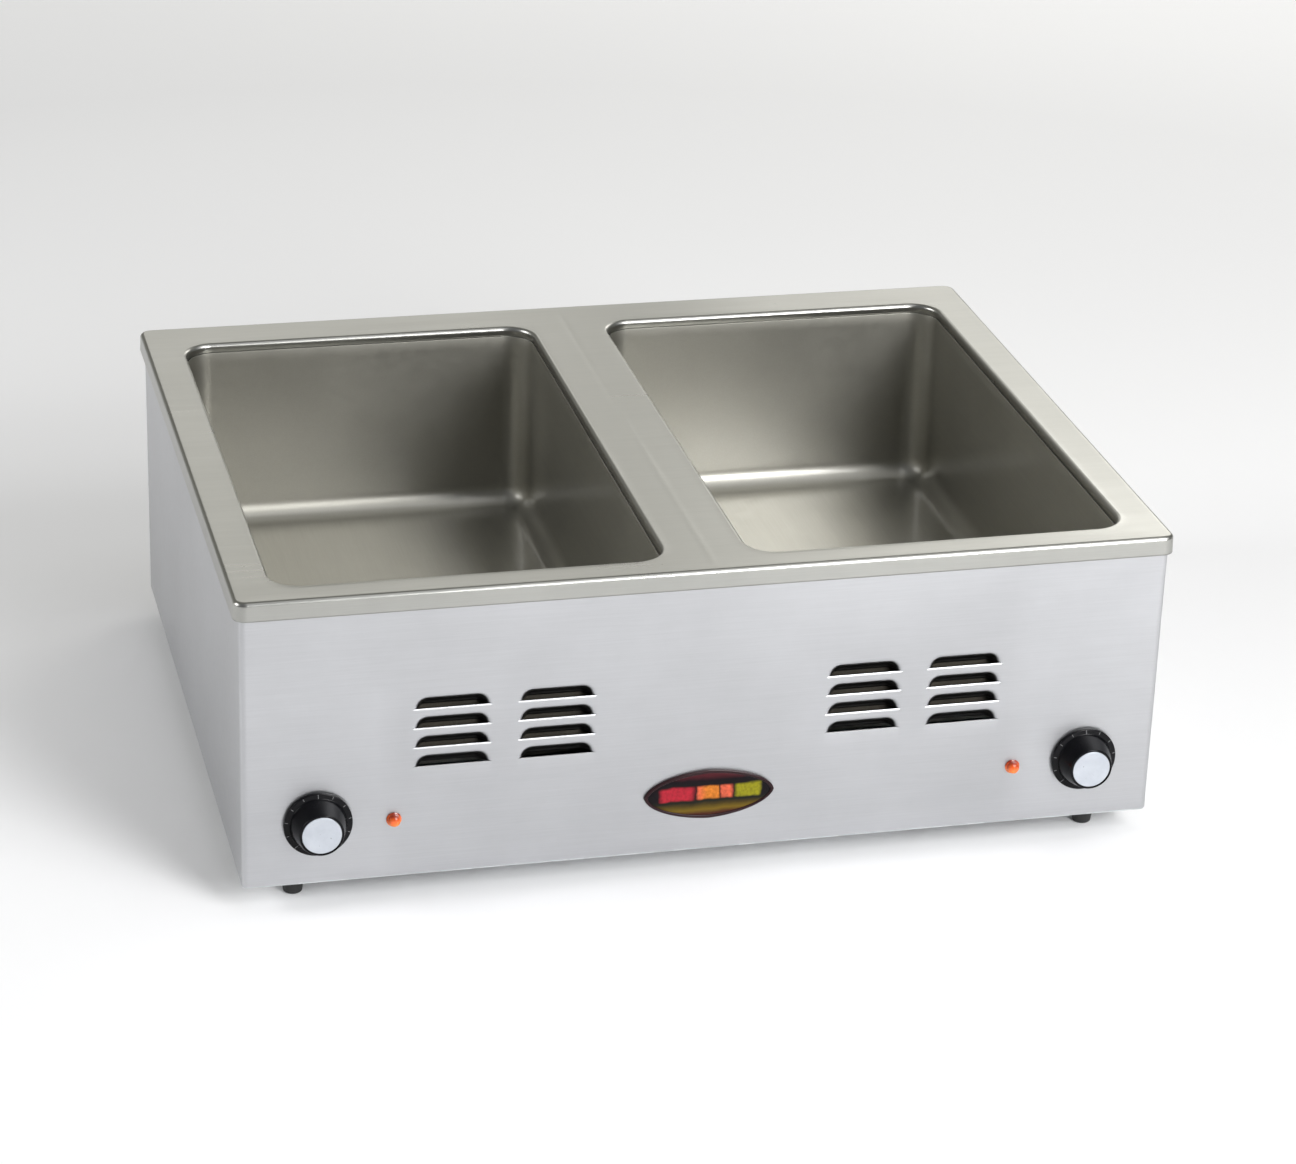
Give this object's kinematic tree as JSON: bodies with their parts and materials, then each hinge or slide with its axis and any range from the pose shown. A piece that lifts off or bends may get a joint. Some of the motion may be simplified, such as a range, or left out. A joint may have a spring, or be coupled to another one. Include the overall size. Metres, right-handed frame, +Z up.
{
  "type": "steam table unit",
  "caption": "Countertop electric steam table: stainless cabinet with open rectangular wells, front louvres, thermostat dials, pilot lamps and rubber feet.",
  "frame": {"origin": "on the surface the unit stands on, below the centre of its bounding box", "axes": "+X to the right of a person facing the front, +Y from front to back, +Z up"},
  "size_m": [0.736, 0.6116, 0.2605],
  "materials": {
    "stainless": "satin brushed stainless sheet",
    "galvanised": "matt galvanised sheet",
    "zinc_plate": "bright zinc-plated steel",
    "knob_black": "glossy black phenolic moulding",
    "knob_face": "satin anodised disc",
    "lamp_amber": "translucent amber-red lens",
    "badge_frame": "glossy dark maroon rim",
    "badge_art": "printed abstract colour blocks under gloss",
    "rubber_foot": "matt black rubber",
    "heater_sheath": "heat-darkened alloy sheath",
    "mineral_wool": "dark fibrous rock wool",
    "copper": "drawn copper",
    "moulded_case": "dark moulded resin",
    "terminal_resin": "cream moulded resin",
    "wire_sleeve": "heat-resistant glass-braid sleeve",
    "gland_nylon": "black nylon"
  },
  "bodies": {
    "root": {"back_panel": "stainless", "badge_inlay": "badge_art", "badge_plate": "badge_frame", "body_wrap": "stainless", "bottom_plate": "galvanised", "branch_loom_left": "wire_sleeve", "branch_loom_right": "wire_sleeve", "bulb_clips": "zinc_plate", "capillary_bulb_left": "copper", "capillary_bulb_right": "copper", "control_shield": "galvanised", "cord_gland_body": "gland_nylon", "cord_gland_cap": "gland_nylon", "cord_gland_locknut": "gland_nylon", "deck": "stainless", "earth_stud": "zinc_plate", "element_clamps": "galvanised", "element_leads_left": "wire_sleeve", "element_leads_right": "wire_sleeve", "foot_back_left": "rubber_foot", "foot_back_right": "rubber_foot", "foot_front_left": "rubber_foot", "foot_front_right": "rubber_foot", "foot_screws": "zinc_plate", "heat_pan_left": "galvanised", "heat_pan_right": "galvanised", "heating_element_left": "heater_sheath", "heating_element_right": "heater_sheath", "insulation_jacket_left": "mineral_wool", "insulation_jacket_right": "mineral_wool", "insulation_pad_left": "mineral_wool", "insulation_pad_right": "mineral_wool", "lamp_leads": "wire_sleeve", "limit_thermostat_left": "zinc_plate", "limit_thermostat_right": "zinc_plate", "main_loom": "wire_sleeve", "panel_screws": "zinc_plate", "pilot_housing_left": "moulded_case", "pilot_housing_right": "moulded_case", "pilot_lens_left": "lamp_amber", "pilot_lens_right": "lamp_amber", "plate_nuts": "zinc_plate", "shield_grommets": "rubber_foot", "stud_nuts": "zinc_plate", "terminal_block": "terminal_resin", "terminal_screws": "zinc_plate", "thermostat_left": "moulded_case", "thermostat_plate_left": "galvanised", "thermostat_plate_right": "galvanised", "thermostat_right": "moulded_case", "thermostat_screws": "zinc_plate", "well_left": "stainless", "well_right": "stainless"},
    "dial_left": {"knob_left": "knob_black", "knob_cap_left": "knob_face", "thermostat_shaft_left": "zinc_plate"},
    "dial_right": {"knob_right": "knob_black", "knob_cap_right": "knob_face", "thermostat_shaft_right": "zinc_plate"}
  },
  "joints": [
    {"name": "dial_left_turn", "type": "hinge", "parent": "root", "child": "dial_left", "pos_m": [-0.306, -0.28425, 0.0725], "axis": [0, 1, 0], "range_deg": [0, 270]},
    {"name": "dial_right_turn", "type": "hinge", "parent": "root", "child": "dial_right", "pos_m": [0.306, -0.28425, 0.0725], "axis": [0, 1, 0], "range_deg": [0, 270]}
  ]
}
